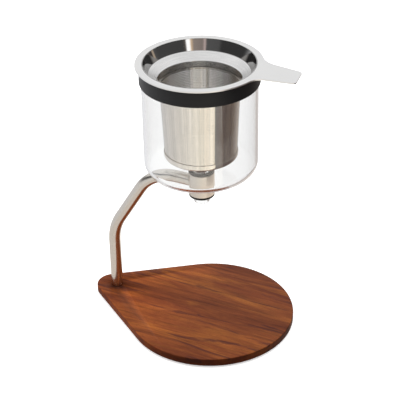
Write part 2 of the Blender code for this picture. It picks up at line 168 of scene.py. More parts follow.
ROOM = (
    (-180, 0.07),
    (-112, 0.07),
    (-106, 0.15),
    (-80, 0.17),
    (-76, (0.95, 0.76, 0.72)),
    (-71, (0.42, 0.35, 0.32)),
    (-52, (0.52, 0.44, 0.39)),
    (-47, (1.2, 0.88, 0.57)),
    (-43, 2.3),
    (-38, 2.3),
    (-35, (0.20, 0.17, 0.15)),
    (-29, 0.10),
    (30, 0.11),
    (39, 0.15),
    (41, (0.8, 0.65, 0.5)),
    (44, (0.8, 0.65, 0.5)),
    (46, 0.07),
    (74, 0.05),
    (84, 0.92),
    (110, 0.85),
    (150, 0.55),
    (158, 0.05),
)
LOW_PAPER = (
    (-180, (0.80, 0.80, 0.82)),
    (-140, (0.84, 0.83, 0.82)),
    (-100, (0.95, 0.93, 0.88)),
    (-60, (1.04, 1.00, 0.90)),
    (-45, (1.14, 1.06, 0.93)),
    (-30, (1.25, 1.20, 1.08)),
    (-22, (1.20, 1.08, 0.90)),
    (-19, (0.10, 0.10, 0.11)),
    (-4, (0.13, 0.098, 0.094)),
    (15, (0.10, 0.07, 0.063)),
    (45, (0.115, 0.085, 0.078)),
    (60, (0.30, 0.26, 0.24)),
    (85, (0.55, 0.50, 0.47)),
    (120, (0.80, 0.80, 0.82)),
    (180, (0.80, 0.80, 0.82)),
)
LEFT_CARD = ((-180, 0.0), (-127, 0.0), (-123, 0.9), (-111, 0.9), (-107, 0.0), (180, 0.0))
PALE_WALL = (0.98, 0.95, 0.92)


# Outlines


def arc(centre, radius, start, stop, steps):
    """Points on an arc in a plane, with angles in radians."""
    turn = (stop - start) / steps
    return [
        (
            centre[0] + radius * math.cos(start + turn * i),
            centre[1] + radius * math.sin(start + turn * i),
        )
        for i in range(steps + 1)
    ]


def rounded_corner(before, corner, after, radius, steps):
    """Points that replace a corner with an arc that is tangent to both of its sides."""
    corner = Vector(corner)
    to_before = (Vector(before) - corner).normalized()
    to_after = (Vector(after) - corner).normalized()
    half = to_before.angle(to_after) / 2
    middle = (to_before + to_after).normalized()
    centre = corner + middle * (radius / math.sin(half))
    first = corner + to_before * (radius / math.tan(half)) - centre
    last = corner + to_after * (radius / math.tan(half)) - centre
    start = math.atan2(first.y, first.x)
    sweep = math.remainder(math.atan2(last.y, last.x) - start, 2 * math.pi)
    return arc(centre, radius, start, start + sweep, steps)


def rounded_path(points, radii, steps):
    """An open path whose inner corners are rounded, each with its own radius."""
    path = [points[0]]
    for i, radius in enumerate(radii, start=1):
        path += rounded_corner(points[i - 1], points[i], points[i + 1], radius, steps)
    return path + [points[-1]]


def rounded_loop(points, radii, steps):
    """A closed outline whose corners are rounded; a radius of 0 keeps its corner."""
    loop = []
    for i, (corner, radius) in enumerate(zip(points, radii)):
        following = points[(i + 1) % len(points)]
        if radius:
            loop += rounded_corner(points[i - 1], corner, following, radius, steps)
        else:
            loop.append(corner)
    return loop


def offset_path(path, distance):
    """A path moved to its left by a distance."""
    points = [Vector(p) for p in path]
    sides = [(b - a).normalized() for a, b in zip(points, points[1:])]
    moved = []
    for point, before, after in zip(points, [sides[0]] + sides, sides + [sides[-1]]):
        normal = Vector((-before.y - after.y, before.x + after.x)).normalized()
        left = Vector((-before.y, before.x))
        moved.append(tuple(point + normal * (distance / normal.dot(left))))
    return moved


def round_end(here, there):
    """Points between the two corners of a sheet's end that turn it into a half circle."""
    middle = (here + there) / 2
    start = math.atan2(here.y - middle.y, here.x - middle.x)
    radius = (here - there).length / 2
    return arc(middle, radius, start, start + math.pi, BEND_STEPS)[1:-1]


def sheet_outline(path, thickness, has_round_ends=False):
    """Closed outline of a bent sheet: along the path, and back along its offset."""
    near = [Vector(p) for p in path]
    far = [Vector(p) for p in reversed(offset_path(path, thickness))]
    if has_round_ends:
        far = round_end(near[-1], far[0]) + far + round_end(far[-1], near[0])
    return [tuple(p) for p in near + far]


# Meshes


def half_width(node):
    """Radius of a round node."""
    low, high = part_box(node)
    return (high.x - low.x) / 2


def add_piece(name, mesh, body, stands_for, slot, *materials):
    """Put a mesh in the scene as a piece that rides on a body and stands for CAD nodes."""
    piece = bpy.data.objects.new(name, mesh)
    bpy.context.scene.collection.objects.link(piece)
    for finish in materials:
        mesh.materials.append(finish)
    flat = piece.modifiers.new("flat_faces_stay_flat", "WEIGHTED_NORMAL")
    flat.keep_sharp = True
    flat.weight = 100
    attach(piece, body)
    if stands_for:
        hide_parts(*stands_for)
    return piece


def finished_mesh(name, shape, sharp_degrees=40):
    """Turn a bmesh into a smooth mesh with its hard edges kept."""
    bmesh.ops.recalc_face_normals(shape, faces=shape.faces)
    mesh = bpy.data.meshes.new(name)
    shape.to_mesh(mesh)
    shape.free()
    mesh.shade_smooth()
    mesh.set_sharp_from_angle(angle=math.radians(sharp_degrees))
    return mesh


def turned_mesh(name, outline, centre=AXIS, steps=ROUND_STEPS, sharp_degrees=40):
    """Solid of revolution about an upright line from a closed outline of (radius, height)."""
    shape = bmesh.new()
    ring = [shape.verts.new((centre[0] + r, centre[1], z)) for r, z in outline]
    for i, vertex in enumerate(ring):
        following = (i + 1) % len(ring)
        on_axis = outline[i][0] == 0 and outline[following][0] == 0
        if not on_axis:
            shape.edges.new((vertex, ring[following]))
    bmesh.ops.spin(
        shape,
        geom=shape.verts[:] + shape.edges[:],
        cent=(centre[0], centre[1], 0.0),
        axis=(0.0, 0.0, 1.0),
        angle=2 * math.pi,
        steps=steps,
        use_merge=True,
    )
    bmesh.ops.remove_doubles(shape, verts=shape.verts, dist=0.000001)
    return finished_mesh(name, shape, sharp_degrees)


def raise_faces(shape, faces, height):
    """Extrude flat faces upward into a plate."""
    raised = bmesh.ops.extrude_face_region(shape, geom=faces)["geom"]
    top = [item for item in raised if isinstance(item, bmesh.types.BMVert)]
    bmesh.ops.translate(shape, verts=top, vec=(0.0, 0.0, height))


def bridge_rings(shape, pairs):
    """Fill the strip between the two rings of each pair."""
    for first, second in pairs:
        for i in range(len(first)):
            j = (i + 1) % len(first)
            shape.faces.new((first[i], first[j], second[j], second[i]))


def pierced_mesh(name, lines, solid, wraps):
    """A sheet with holes. lines has the grid's points as (side, column, row, xyz); solid says
    which cells are filled; wraps joins the last column to the first. The second side takes the
    second material."""
    sides, columns, rows, _ = lines.shape
    index = np.arange(sides * columns * rows).reshape(sides, columns, rows)
    if wraps:
        index = np.concatenate([index, index[:, :1]], axis=1)
    corners = np.stack(
        [index[:, :-1, :-1], index[:, 1:, :-1], index[:, 1:, 1:], index[:, :-1, 1:]], axis=-1
    )
    quads = [corners[0][solid], corners[1][solid][:, ::-1]]
    padded = np.pad(solid, 1)
    if wraps:
        padded[0, 1:-1] = solid[-1]
        padded[-1, 1:-1] = solid[0]
    neighbours = (
        (padded[1:-1, :-2], 0, 1),
        (padded[2:, 1:-1], 1, 2),
        (padded[1:-1, 2:], 2, 3),
        (padded[:-2, 1:-1], 3, 0),
    )
    for neighbour, a, b in neighbours:
        edge = solid & ~neighbour
        here, there = corners[0][edge], corners[1][edge]
        quads.append(np.stack([here[:, b], here[:, a], there[:, a], there[:, b]], axis=-1))
    faces = np.concatenate(quads)
    used, faces = np.unique(faces, return_inverse=True)
    mesh = bpy.data.meshes.new(name)
    mesh.from_pydata(lines.reshape(-1, 3)[used].tolist(), [], faces.reshape(-1, 4).tolist())
    count = len(quads[0])
    is_second_side = np.zeros(len(mesh.polygons), dtype=np.int32)
    is_second_side[count : 2 * count] = 1
    mesh.polygons.foreach_set("material_index", is_second_side)
    mesh.update()
    return mesh


# Materials


class Nodes:
    """A short way to write the nodes of a material or a world."""

    def __init__(self, owner):
        owner.use_nodes = True
        self.owner = owner
        self.tree = owner.node_tree
        self.shader = self.tree.nodes.get("Principled BSDF")

    def add(self, kind, **settings):
        node = self.tree.nodes.new("ShaderNode" + kind)
        for key, value in settings.items():
            setattr(node, key, value)
        return node

    def link(self, source, target):
        self.tree.links.new(source, target)

    def put(self, target, value):
        if isinstance(value, bpy.types.NodeSocket):
            self.link(value, target)
        else:
            target.default_value = value

    def place(self, scale=(1, 1, 1), turn=0.0, offset=(0, 0, 0)):
        """The piece's own coordinates, scaled, turned and moved."""
        coordinates = self.add("TexCoord")
        mapping = self.add("Mapping")
        self.link(coordinates.outputs["Object"], mapping.inputs["Vector"])
        mapping.inputs["Rotation"].default_value = (0, 0, turn)
        mapping.inputs["Scale"].default_value = scale
        mapping.inputs["Location"].default_value = offset
        return mapping.outputs["Vector"]

    def split(self, vector):
        """X, Y and Z of a vector."""
        node = self.add("SeparateXYZ")
        self.link(vector, node.inputs[0])
        return tuple(node.outputs)

    def from_axis(self):
        """X and Y measured from the vessel's axis, and Z."""
        x, y, z = self.split(self.place())
        return self.maths("SUBTRACT", x, AXIS.x), self.maths("SUBTRACT", y, AXIS.y), z

    def dot(self, vector, direction):
        """How far a vector points in a direction."""
        node = self.add("VectorMath", operation="DOT_PRODUCT")
        self.link(vector, node.inputs[0])
        node.inputs[1].default_value = direction
        return node.outputs["Value"]

    def maths(self, operation, *values, clamp=False):
        node = self.add("Math", operation=operation, use_clamp=clamp)
        for socket, value in zip(node.inputs, values):
            self.put(socket, value)
        return node.outputs["Value"]

    def noise(self, vector, scale=1.0, detail=3.0, roughness=0.5, distortion=0.0):
        node = self.add("TexNoise")
        self.link(vector, node.inputs["Vector"])
        node.inputs["Scale"].default_value = scale
        node.inputs["Detail"].default_value = detail
        node.inputs["Roughness"].default_value = roughness
        node.inputs["Distortion"].default_value = distortion
        return node.outputs["Fac"]

    def ramp(self, value, stops, smooth=True):
        node = self.add("ValToRGB")
        node.color_ramp.interpolation = "EASE" if smooth else "LINEAR"
        elements = node.color_ramp.elements
        while len(elements) < len(stops):
            elements.new(0.5)
        for element, (position, colour) in zip(elements, stops):
            element.position = position
            element.color = (*colour, 1.0) if isinstance(colour, tuple) else (colour,) * 3 + (1.0,)
        self.put(node.inputs["Fac"], value)
        return node.outputs["Color"]

    def by_heading(self, x, y, rows):
        """Colours around an upright axis, from rows of (heading in degrees, colour)."""
        turn = self.maths("MULTIPLY_ADD", self.maths("ARCTAN2", y, x), 0.5 / math.pi, 0.5)
        stops = [((heading + 180) / 360, colour) for heading, colour in rows]
        return self.ramp(turn, stops, smooth=False)

    def mix(self, factor, first, second, blend="MIX"):
        node = self.add("Mix", data_type="RGBA", blend_type=blend)
        sockets = [s for s in node.inputs if s.enabled]
        for socket, value in zip(sockets, (factor, first, second)):
            if isinstance(value, tuple) and len(value) == 3:
                value = (*value, 1.0)
            self.put(socket, value)
        return [s for s in node.outputs if s.enabled][0]

    def spread(self, value, low, high):
        """Move a value from 0..1 to low..high."""
        node = self.add("MapRange")
        self.put(node.inputs["Value"], value)
        node.inputs["To Min"].default_value = low
        node.inputs["To Max"].default_value = high
        return node.outputs["Result"]

    def bump(self, height, depth, strength=1.0):
        node = self.add("Bump")
        self.link(height, node.inputs["Height"])
        node.inputs["Distance"].default_value = depth
        node.inputs["Strength"].default_value = strength
        self.link(node.outputs["Normal"], self.shader.inputs["Normal"])

    def surface(self, **values):
        for key, value in values.items():
            self.put(self.shader.inputs[key.replace("_", " ")], value)
        return self.owner

    def around(self, along, across):
        """Coordinates that change slowly around the vessel's axis and fast across it."""
        x, y, z = self.from_axis()
        squares = self.maths("ADD", self.maths("MULTIPLY", x, x), self.maths("MULTIPLY", y, y))
        radius = self.maths("SQRT", squares)
        join = self.add("CombineXYZ")
        for side, name in ((x, "X"), (y, "Y")):
            round_the_axis = self.maths("MULTIPLY", self.maths("DIVIDE", side, radius), along)
            self.link(round_the_axis, join.inputs[name])
        self.link(self.maths("MULTIPLY", self.maths("ADD", z, radius), across), join.inputs["Z"])
        return join.outputs["Vector"]


def material_nodes(name):
    """The nodes of a new material."""
    return Nodes(bpy.data.materials.new(name))


def hardwood():
    """Oiled reddish hardwood, its grain running nearly along the board. Its upright sides are
    painted darker, as painted shade."""
    n = material_nodes("oiled_hardwood")
    grain = math.radians(14)
    drift = n.noise(n.place((7, 13, 13), grain), detail=2)
    figure = n.noise(n.place((8, 60, 50), grain), detail=6, roughness=0.6, distortion=0.8)
    fine = n.place((16, 320, 250), grain, (3, 1, 0))
    streaks = n.noise(fine, detail=6, roughness=0.68, distortion=0.4)
    wide = n.place((11, 95, 80), grain, (7, 4, 0))
    veins = n.noise(wide, detail=5, roughness=0.6, distortion=0.9)
    broad = n.place((9, 42, 36), grain, (2, 9, 0))
    flames = n.noise(broad, detail=4, roughness=0.55, distortion=0.7)
    fibres = n.noise(n.place((110, 1900, 1500), grain), detail=3, roughness=0.6)
    pores = n.noise(n.place((240, 3400, 2600), grain), detail=2, roughness=0.7)
    body = n.ramp(
        figure,
        [
            (0.30, (0.098, 0.021, 0.0085)),
            (0.45, (0.150, 0.036, 0.0110)),
            (0.56, (0.190, 0.049, 0.0130)),
            (0.72, (0.270, 0.078, 0.0165)),
        ],
    )
    streak_tone = n.ramp(streaks, [(0.36, 0.55), (0.5, 1.0), (0.66, 1.3)])
    streaked = n.mix(0.65, body, streak_tone, "MULTIPLY")
    is_flame = n.ramp(flames, [(0.54, 0.0), (0.66, 0.45)])
    flamed = n.mix(is_flame, streaked, (0.300, 0.098, 0.0170))
    is_vein = n.ramp(veins, [(0.56, 0.0), (0.65, 0.75)])
    veined = n.mix(is_vein, flamed, (0.058, 0.015, 0.0125))
    along_board = n.split(n.place())[0]
    towards_tail = n.maths("MULTIPLY_ADD", along_board, -8.0, 0.2, clamp=True)
    tail_tone = n.mix(towards_tail, (0.97, 0.97, 0.98), (1.28, 1.22, 1.0))
    warmed = n.mix(1.0, veined, tail_tone, "MULTIPLY")
    shaded = n.mix(0.4, warmed, n.ramp(drift, [(0.35, 0.75), (0.65, 1.25)]), "MULTIPLY")
    combed = n.mix(0.4, shaded, n.ramp(fibres, [(0.3, 0.7), (0.7, 1.25)]), "MULTIPLY")
    speckled = n.mix(n.ramp(pores, [(0.57, 0.0), (0.68, 0.5)]), combed, (0.040, 0.010, 0.0050))
    # Painted shade: the board's upright sides are painted darker than its top.
    upright = n.maths("ABSOLUTE", n.split(n.add("NewGeometry").outputs["Normal"])[2])
    is_shaded_side = n.ramp(upright, [(0.25, 1.0), (0.85, 0.0)])
    painted_side_shade = n.mix(1.0, speckled, (0.45, 0.36, 0.30), "MULTIPLY")
    colour = n.mix(is_shaded_side, speckled, painted_side_shade)
    n.bump(n.mix(0.35, fibres, pores), 0.00006)
    return n.surface(
        Base_Color=colour,
        Roughness=n.spread(figure, 0.62, 0.50),
        Specular_IOR_Level=0.09,
    )


def black_silicone():
    """Matte black silicone with a faint bloom."""
    n = material_nodes("matte_silicone")
    cloud = n.noise(n.place((120, 120, 120)), detail=3)
    dust = n.noise(n.place((2600, 2600, 2600)), detail=2)
    colour = n.mix(cloud, (0.010, 0.010, 0.011), (0.018, 0.018, 0.019))
    n.bump(dust, 0.00004, 0.5)
    return n.surface(
        Base_Color=colour,
        Roughness=n.spread(cloud, 0.40, 0.52),
        Specular_IOR_Level=0.28,
    )


def satin_finish(n, marks):
    """Warm satin steel with fine marks."""
    cloud = n.noise(n.place((60, 60, 60)), detail=2)
    colour = n.mix(marks, (0.60, 0.565, 0.52), (0.74, 0.70, 0.65))
    n.bump(marks, 0.00002, 0.35)
    return n.surface(Base_Color=colour, Metallic=1.0, Roughness=n.spread(cloud, 0.17, 0.24))


def tube_steel():
    """Satin steel of the tube, with even marks."""
    n = material_nodes("tube_steel")
    return satin_finish(n, n.noise(n.place((900, 900, 900)), detail=4))


def collar_steel():
    """Satin steel of the collar, brushed round and round."""
    n = material_nodes("collar_steel")
    return satin_finish(n, n.noise(n.around(3, 5000), detail=4))


def plate_steel():
    """Fine satin finish of the flat flange."""
    n = material_nodes("plate_steel")
    grain = n.noise(n.place((1500, 1500, 1500)), detail=3)
    cloud = n.noise(n.place((45, 45, 45)), detail=3)
    colour = n.mix(cloud, (0.76, 0.76, 0.76), (0.82, 0.815, 0.81))
    n.bump(grain, 0.00002, 0.3)
    return n.surface(Base_Color=colour, Metallic=1.0, Roughness=n.spread(cloud, 0.27, 0.36))


def polished_steel():
    """Mirror finish with faint marks left by drawing the sheet."""
    n = material_nodes("mirror_steel")
    waves = n.noise(n.around(9, 30), detail=2)
    hairs = n.noise(n.around(2, 4000), detail=3)
    colour = n.mix(hairs, (0.38, 0.375, 0.37), (0.52, 0.515, 0.51))
    n.bump(waves, 0.0001, 0.25)
    return n.surface(Base_Color=colour, Metallic=1.0, Roughness=n.spread(hairs, 0.03, 0.09))


def ledge_steel():
    """Bright finish of the sloping ledge, brushed round and round."""
    n = material_nodes("ledge_steel")
    hairs = n.noise(n.around(2, 5200), detail=4, roughness=0.7)
    cloud = n.noise(n.around(6, 60), detail=2)
    is_bright = n.ramp(hairs, [(0.35, 0.0), (0.65, 1.0)])
    colour = n.mix(is_bright, (0.62, 0.62, 0.62), (0.90, 0.895, 0.89))
    n.bump(hairs, 0.00004, 0.6)
    return n.surface(Base_Color=colour, Metallic=1.0, Roughness=n.spread(cloud, 0.24, 0.34))


def mesh_steel():
    """Etched sheet, with faint upright streaks."""
    n = material_nodes("pierced_steel")
    streaks = n.noise(n.around(26, 3), detail=6, roughness=0.7)
    is_bright = n.ramp(streaks, [(0.3, 0.0), (0.7, 1.0)])
    colour = n.mix(is_bright, (0.71, 0.67, 0.61), (0.88, 0.83, 0.765))
    return n.surface(Base_Color=colour, Metallic=1.0, Roughness=n.spread(streaks, 0.045, 0.10))


def inner_mesh_steel():
    """Inside of the etched sheet, with painted light: a duller tone painted by heading, and a painted
    bright band that starts at the seam.
    """
    n = material_nodes("pierced_steel_inside")
    # Painted light: brightness painted by heading inside the sleeve, with a painted bright band from
    # 103 to 129 degrees.
    painted_light_tones = (
        (-180, 0.24),
        (-130, 0.80),
        (0, 0.80),
        (58, 0.50),
        (75, 0.62),
        (93, 0.78),
        (103, (0.90, 0.87, 0.84)),
        (116, (1.00, 0.95, 0.89)),
        (129, (1.00, 0.95, 0.89)),
        (131, 0.60),
        (158, 0.56),
        (180, 0.24),
    )
    x, y, _ = n.from_axis()
    painted_tone = n.by_heading(x, y, painted_light_tones)
    streaks = n.noise(n.around(26, 3), detail=6, roughness=0.7)
    colour = n.mix(1.0, painted_tone, n.ramp(streaks, [(0.3, 0.75), (0.7, 1.15)]), "MULTIPLY")
    return n.surface(Base_Color=colour, Metallic=1.0, Roughness=n.spread(streaks, 0.10, 0.22))


def clear_glass():
    """Clear borosilicate glass, very slightly uneven as blown glass is."""
    n = material_nodes("blown_glass")
    waves = n.noise(n.place((70, 70, 25)), detail=2)
    colour = n.mix(waves, (0.990, 0.994, 0.993), (0.997, 0.999, 0.998))
    n.bump(waves, 0.00015, 0.12)
    return n.surface(Base_Color=colour, Roughness=0.0, IOR=1.47, Transmission_Weight=1.0)


def zinc_steel():
    """Zinc plated fixing."""
    n = material_nodes("zinc_plate")
    spots = n.noise(n.place((900, 900, 900)), detail=3)
    colour = n.mix(spots, (0.42, 0.43, 0.42), (0.66, 0.66, 0.62))
    n.bump(spots, 0.00002, 0.4)
    return n.surface(Base_Color=colour, Metallic=1.0, Roughness=n.spread(spots, 0.28, 0.45))


def brass():
    """Plain turned brass."""
    n = material_nodes("turned_brass")
    hairs = n.noise(n.place((300, 300, 6000)), detail=2)
    colour = n.mix(hairs, (0.60, 0.42, 0.17), (0.80, 0.60, 0.28))
    n.bump(hairs, 0.00002, 0.4)
    return n.surface(Base_Color=colour, Metallic=1.0, Roughness=n.spread(hairs, 0.25, 0.4))


# Pieces


def board_outline(low, high):
    """Teardrop seen from above: a wide arc and a tail arc, joined by the lines that touch both."""
    wide_radius = (high.y - low.y) / 2
    wide_x = high.x - wide_radius
    tail_radius = wide_radius * TAIL_TO_WIDE_RADIUS
    tail_x = low.x + tail_radius
    lean = math.acos((wide_radius - tail_radius) / (wide_x - tail_x))
    wide = arc((wide_x, 0.0), wide_radius, lean - math.pi, math.pi - lean, BOARD_STEPS)
    tail = arc((tail_x, 0.0), tail_radius, math.pi - lean, math.pi + lean, TAIL_STEPS)
    return wide + tail


def fixing_hole():
    """Turned outline of the counterbore, the screw's hole and the tube's socket in the board."""
    low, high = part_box("base_board")
    washer_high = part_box("flat_washer")[1]
    tube_low, tube_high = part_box("stand_tube")
    tube_radius = (tube_high.y - tube_low.y) / 2
    ledge = washer_high.z + GAP
    socket = tube_low.z - GAP
    outline = [
        (0.0, low.z - GAP),
        (COUNTERBORE_RADIUS, low.z - GAP),
        (COUNTERBORE_RADIUS, ledge),
        (SCREW_HOLE_RADIUS, ledge),
        (SCREW_HOLE_RADIUS, socket),
        (tube_radius + SOCKET_ROOM, socket),
        (tube_radius + SOCKET_ROOM, high.z + GAP),
        (0.0, high.z + GAP),
    ]
    return outline, (tube_low.x + tube_radius, 0.0)


def base_board(finish):
    """Teardrop board with eased edges and the hole for its fixing."""
    low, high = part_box("base_board")
    shape = bmesh.new()
    corners = [shape.verts.new((x, y, low.z)) for x, y in board_outline(low, high)]
    raise_faces(shape, [shape.faces.new(corners)], high.z - low.z)
    edge = [e for e in shape.edges if abs(e.verts[0].co.z - e.verts[1].co.z) < 1e-6]
    bmesh.ops.bevel(
        shape, geom=edge, offset=BOARD_EDGE_ROUND, segments=4, profile=0.5, affect="EDGES"
    )
    mesh = finished_mesh("wood_board", shape, 50)
    board = add_piece("wood_board", mesh, "stand", ["base_board"], "wood", finish)

    outline, centre = fixing_hole()
    cutter_mesh = turned_mesh("hole_cutter", outline, centre, SMALL_STEPS)
    cutter = bpy.data.objects.new("hole_cutter", cutter_mesh)
    bpy.context.scene.collection.objects.link(cutter)
    hole = board.modifiers.new("hole", "BOOLEAN")
    hole.object = cutter
    hole.operation = "DIFFERENCE"
    bpy.context.view_layer.update()
    cut_board = board.evaluated_get(bpy.context.evaluated_depsgraph_get())
    cut_mesh = bpy.data.meshes.new_from_object(cut_board)
    board.modifiers.clear()
    board.data = cut_mesh
    bpy.data.objects.remove(cutter)


def foot_pads(finish):
    """Four thin round pads under the board."""
    for number in range(1, 5):
        node = f"foot_pad_{number}"
        low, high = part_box(node)
        centre = ((low.x + high.x) / 2, (low.y + high.y) / 2)
        radius = half_width(node)
        top = high.z + GAP
        corners = [(0.0, low.z), (radius, low.z), (radius, top), (0.0, top)]
        outline = rounded_loop(corners, (0, PAD_EDGE_ROUND, 0, 0), CORNER_STEPS)
        mesh = turned_mesh(f"pad_{number}", outline, centre, PAD_STEPS)
        add_piece(f"pad_{number}", mesh, "stand", [node], "black_silicone", finish)


def tube_path():
    """The tube's centre line, as in the frame's own tube: upright, slanted, then level."""
    low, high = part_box("stand_tube")
    radius = (high.y - low.y) / 2
    tube_x, arm_z = low.x + radius, high.z - radius
    corners = [
        (tube_x, low.z),
        (tube_x, LOWER_CORNER_Z),
        (tube_x + (arm_z - LOWER_CORNER_Z) / math.tan(TUBE_SLANT), arm_z),
        (AXIS.x - ARM_END_TO_AXIS, arm_z),
    ]
    path = [Vector(p) for p in rounded_path(corners, TUBE_BEND_RADII, TUBE_BEND_STEPS)]
    return path, radius


def collar_side(y):
    """X of the collar's side that faces the tube, at a place y."""
    return AXIS.x - math.sqrt(half_width("collar") ** 2 - y * y)


def stand_tube(finish):
    """Bent tube whose upper end is cut to fit the collar."""
    path, radius = tube_path()
    last = len(path) - 1
    shape = bmesh.new()
    surfaces = []
    for reach in (radius, radius - TUBE_WALL):
        rings = []
        for i, point in enumerate(path):
            along = (path[min(i + 1, last)] - path[max(i - 1, 0)]).normalized()
            ring = []
            for side in range(TUBE_SIDES):
                angle = 2 * math.pi * side / TUBE_SIDES
                across, y = reach * math.cos(angle), reach * math.sin(angle)
                x, z = point.x - along.y * across, point.y + along.x * across
                if i == last:
                    x = collar_side(y)
                ring.append(shape.verts.new((x, y, z)))
            rings.append(ring)
        surfaces.append(rings)
    outer, inner = surfaces
    pairs = [pair for rings in surfaces for pair in zip(rings, rings[1:])]
    bridge_rings(shape, pairs + [(outer[0], inner[0]), (outer[-1], inner[-1])])
    mesh = finished_mesh("bent_tube", shape)
    add_piece("bent_tube", mesh, "stand", ["stand_tube"], "satin_steel", finish)


def tube_weld(finish):
    """Rippled bead around the tube where it meets the collar."""
    path, radius = tube_path()
    arm_z = path[-1].y
    away = Vector((-1.0, 0.0, 0.0))
    shape = bmesh.new()
    rings = []
    for i in range(WELD_STEPS):
        angle = 2 * math.pi * i / WELD_STEPS
        outward = Vector((0.0, math.sin(angle), math.cos(angle)))
        spot = outward * radius
        spot.x = collar_side(spot.y)
        spot.z += arm_z
        bead = WELD_RADIUS + WELD_RIPPLE * math.sin(angle * WELD_RIPPLES)
        turns = [2 * math.pi * side / WELD_SIDES for side in range(WELD_SIDES)]
        points = [spot + (outward * math.cos(t) + away * math.sin(t)) * bead for t in turns]
        rings.append([shape.verts.new(point) for point in points])
    bridge_rings(shape, zip(rings, rings[1:] + rings[:1]))
    add_piece("weld_bead", finished_mesh("weld_bead", shape), "stand", [], "satin_steel", finish)


def collar(finish):
    """Steel sleeve that the tube is welded to."""
    low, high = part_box("collar")
    radius = half_width("collar")
    inner = radius - COLLAR_WALL
    corners = [(inner, low.z), (radius, low.z), (radius, high.z), (inner, high.z)]
    radii = (0, COLLAR_EDGE_ROUND, COLLAR_EDGE_ROUND, 0)
    outline = rounded_loop(corners, radii, CORNER_STEPS)
    mesh = turned_mesh("collar_sleeve", outline, steps=COLLAR_STEPS)
    add_piece("collar_sleeve", mesh, "stand", ["collar"], "satin_steel", finish)


def bush_sleeve_radius():
    """Outer radius of the bushes inside the collar."""
    return half_width("collar") - COLLAR_WALL - GAP / 3


def upper_bush(finish):
    """Bush in the collar's upper end, with a chamfer that guides the neck in."""
    low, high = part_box("upper_bush")
    flange, sleeve = half_width("upper_bush"), bush_sleeve_radius()
    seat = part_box("collar")[1].z + GAP / 3
    corners = [
        (BUSH_BORE_RADIUS, low.z),
        (sleeve, low.z),
        (sleeve, seat),
        (flange, seat),
        (flange, high.z),
        (BUSH_BORE_RADIUS + BUSH_CHAMFER, high.z),
        (BUSH_BORE_RADIUS, high.z - BUSH_CHAMFER),
    ]
    radii = (0, 0, 0, BUSH_EDGE_ROUND, BUSH_EDGE_ROUND, 0, 0)
    outline = rounded_loop(corners, radii, CORNER_STEPS)
    mesh = turned_mesh("top_bush", outline, steps=COLLAR_STEPS)
    add_piece("top_bush", mesh, "neck_bush", ["upper_bush"], "black_silicone", finish)


def lower_bush(finish):
    """Bush in the collar's lower end, whose flange shows as a black ring."""
    low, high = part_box("lower_bush")
    flange, sleeve = half_width("lower_bush"), bush_sleeve_radius()
    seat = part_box("collar")[0].z - GAP / 3
    corners = [
        (BUSH_BORE_RADIUS, low.z),
        (flange, low.z),
        (flange, seat),
        (sleeve, seat),
        (sleeve, high.z),
        (BUSH_BORE_RADIUS, high.z),
    ]
    radii = (0, BUSH_LOWER_EDGE_ROUND, BUSH_EDGE_ROUND, 0, 0, 0)
    outline = rounded_loop(corners, radii, CORNER_STEPS)
    mesh = turned_mesh("bottom_bush", outline, steps=COLLAR_STEPS)
    add_piece("bottom_bush", mesh, "stand", ["lower_bush"], "black_silicone", finish)


def glass_jug(finish):
    """Vessel with a rounded floor and a drain neck, its rim and its lip fire-polished."""
    radius = half_width("glass_vessel")
    floor_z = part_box("upper_bush")[1].z + GAP
    corners = [
        (NECK_RADIUS, glass_low.z + GLASS_WALL / 2),
        (NECK_RADIUS, floor_z),
        (radius, floor_z + GLASS_FLOOR_RISE),
        (radius, glass_high.z - GLASS_WALL / 2),
    ]
    outside = rounded_path(corners, (NECK_FILLET, GLASS_CORNER_RADIUS), GLASS_CORNER_STEPS)
    outline = sheet_outline(outside, GLASS_WALL, has_round_ends=True)
    mesh = turned_mesh("glass_jug", outline, steps=GLASS_STEPS, sharp_degrees=80)
    piece = add_piece("glass_jug", mesh, "vessel", ["glass_vessel"], "clear_glass", finish)
    piece.visible_shadow = False


def rim_ring(finish):
    """Tall gasket over the vessel's rim."""
    low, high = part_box("rim_gasket")
    radius = half_width("rim_gasket")
    inner = half_width("glass_vessel") + GAP / 3
    web = high.z - GASKET_WEB
    corners = [
        (inner, low.z),
        (radius, low.z),
        (radius, high.z),
        (GASKET_MOUTH_RADIUS, high.z),
        (GASKET_MOUTH_RADIUS, web),
        (inner, web),
    ]
    outline = rounded_loop(corners, (0, *GASKET_EDGE_ROUNDS, 0, 0), CORNER_STEPS)
    mesh = turned_mesh("rim_ring", outline)
    add_piece("rim_ring", mesh, "gasket", ["rim_gasket"], "black_silicone", finish)


def handle_side(radius):
    """Upper half of the flange's handle, from the ring to the middle of the tip."""
    root = Vector((radius, HANDLE_ROOT_HALF_WIDTH))
    tip = Vector((HANDLE_REACH, HANDLE_TIP_HALF_WIDTH))
    along = (tip - root).normalized()
    outward = Vector((-along.y, along.x))
    start = root + outward * HANDLE_ROOT_FILLET
    half = start.dot(along)
    reach = radius + HANDLE_ROOT_FILLET
    centre = start + along * (-half + math.sqrt(half**2 - start.length_squared + reach**2))
    first = centre * (radius / reach) - centre
    last = -outward * HANDLE_ROOT_FILLET
    start_angle = math.atan2(first.y, first.x) % (2 * math.pi)
    last_angle = math.atan2(last.y, last.x) % (2 * math.pi)
    root_arc = arc(centre, HANDLE_ROOT_FILLET, start_angle, last_angle, FILLET_STEPS)
    middle = (HANDLE_REACH, 0.0)
    return root_arc + rounded_corner(root_arc[-1], tip, middle, HANDLE_TIP_ROUND, BEND_STEPS)


